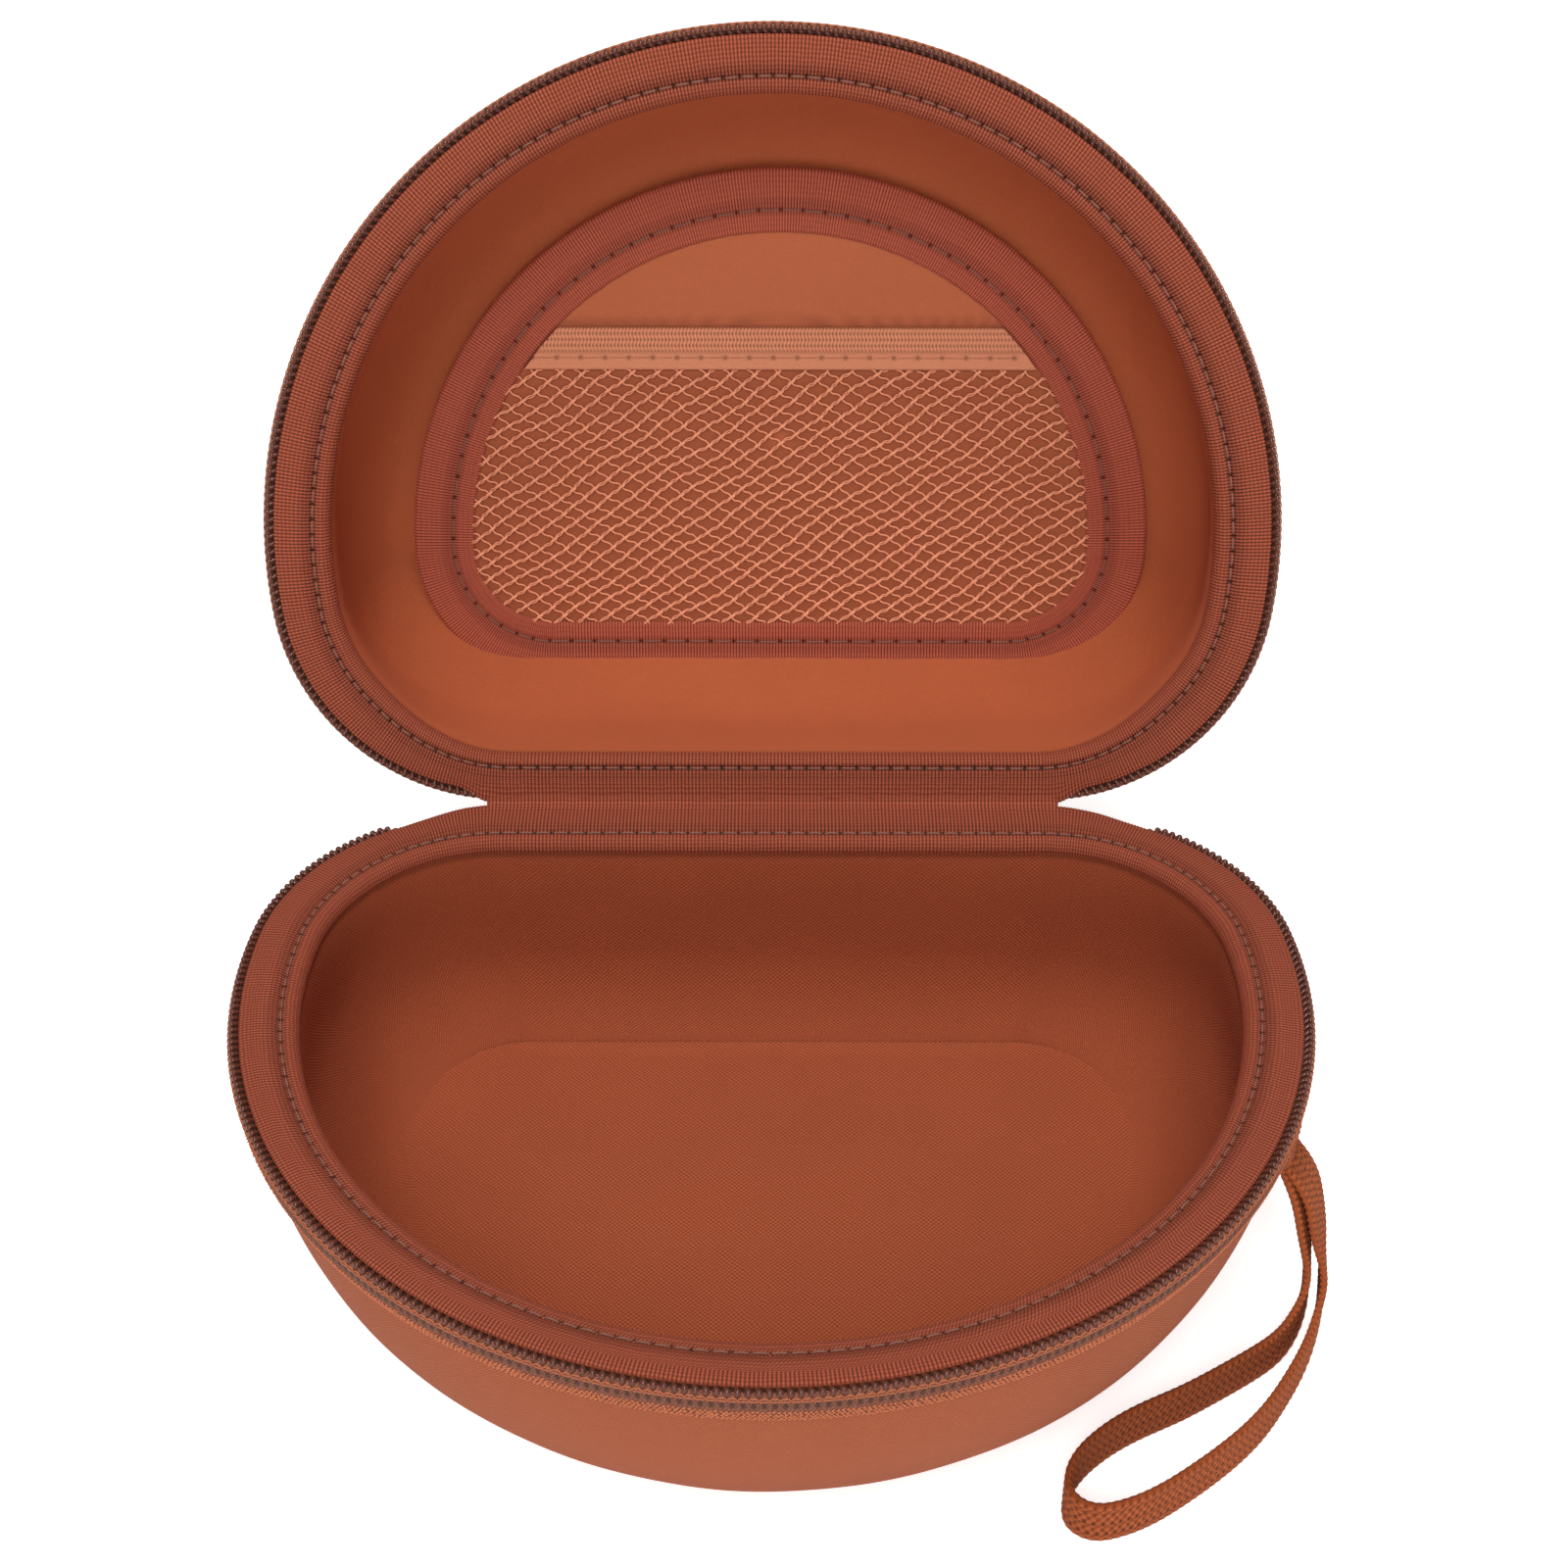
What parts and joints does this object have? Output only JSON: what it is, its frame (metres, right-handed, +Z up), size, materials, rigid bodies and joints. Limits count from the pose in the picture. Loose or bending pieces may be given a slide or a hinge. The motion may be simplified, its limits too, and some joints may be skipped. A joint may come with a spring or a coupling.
{
  "type": "headphone carrying case",
  "caption": "Zipped moulded clam-shell case for folded headphones, with a mesh pocket in the lid and a wrist strap, modelled open.",
  "frame": {"origin": "centre of the flat foot under the base", "axes": "+X to the right across the case, +Y from the front to the hinge, +Z up; the lid is open at rest"},
  "size_m": [0.2025, 0.235, 0.2016],
  "materials": {
    "foam": "closed-cell moulded foam",
    "outer_fabric": "fine plain weave, soft sheen",
    "lining_fabric": "brushed fine weave",
    "thread": "twisted polyester thread",
    "zip_tape": "herringbone tape",
    "zip_coil": "nylon coil",
    "grosgrain": "ribbed ribbon",
    "webbing": "woven webbing",
    "zip_metal": "brown lacquered zinc",
    "net": "open knitted net",
    "elastic": "woven elastic"
  },
  "bodies": {
    "base": {"base_shell": "foam", "base_cover": "outer_fabric", "base_lining": "lining_fabric", "base_zipper_tape": "zip_tape", "base_zipper_coil": "zip_coil", "base_binding": "grosgrain", "base_binding_stitching": "thread", "base_tape_stitching": "thread", "hinge_tape_base": "webbing", "hinge_ribbon_base": "grosgrain", "zipper_end_stops": "zip_metal", "zipper_slider_left": "zip_metal", "zipper_slider_right": "zip_metal", "wrist_strap_anchor": "webbing"},
    "lid": {"lid_shell": "foam", "lid_cover": "outer_fabric", "lid_lining": "lining_fabric", "lid_zipper_tape": "zip_tape", "lid_zipper_coil": "zip_coil", "lid_binding": "grosgrain", "lid_binding_stitching": "thread", "lid_tape_stitching": "thread", "hinge_tape_lid": "webbing", "hinge_ribbon_lid": "grosgrain", "pocket_backing_panel": "lining_fabric", "pocket_binding": "grosgrain", "pocket_stitching": "thread"},
    "pocket_mouth": {"pocket_mesh": "net", "pocket_elastic_band": "elastic", "pocket_band_stitching": "thread"},
    "strap": {"wrist_strap": "webbing"},
    "pull_left": {"zipper_pull_left": "zip_metal"},
    "pull_right": {"zipper_pull_right": "zip_metal"}
  },
  "joints": [
    {"name": "lid_hinge", "type": "hinge", "parent": "base", "child": "lid", "pos_m": [0, 0.064, 0.056], "axis": [-1, 0, 0], "range_deg": [-106.5, 12]},
    {"name": "pocket_mouth_stretch", "type": "slide", "parent": "lid", "child": "pocket_mouth", "axis": [0, -0.9588, 0.284], "range_m": [0, 0.012], "stiffness_N_per_m": 60},
    {"name": "strap_swing", "type": "hinge", "parent": "base", "child": "strap", "pos_m": [0.09297, -0.02147, 0.042], "axis": [-0.3387, -0.9409, 0], "range_deg": [0, 75]},
    {"name": "pull_left_swing", "type": "hinge", "parent": "base", "child": "pull_left", "pos_m": [-0.052, 0.06775, 0.05], "axis": [1, 0, 0], "range_deg": [0, 45]},
    {"name": "pull_right_swing", "type": "hinge", "parent": "base", "child": "pull_right", "pos_m": [0.052, 0.06775, 0.05], "axis": [1, 0, 0], "range_deg": [0, 45]}
  ]
}
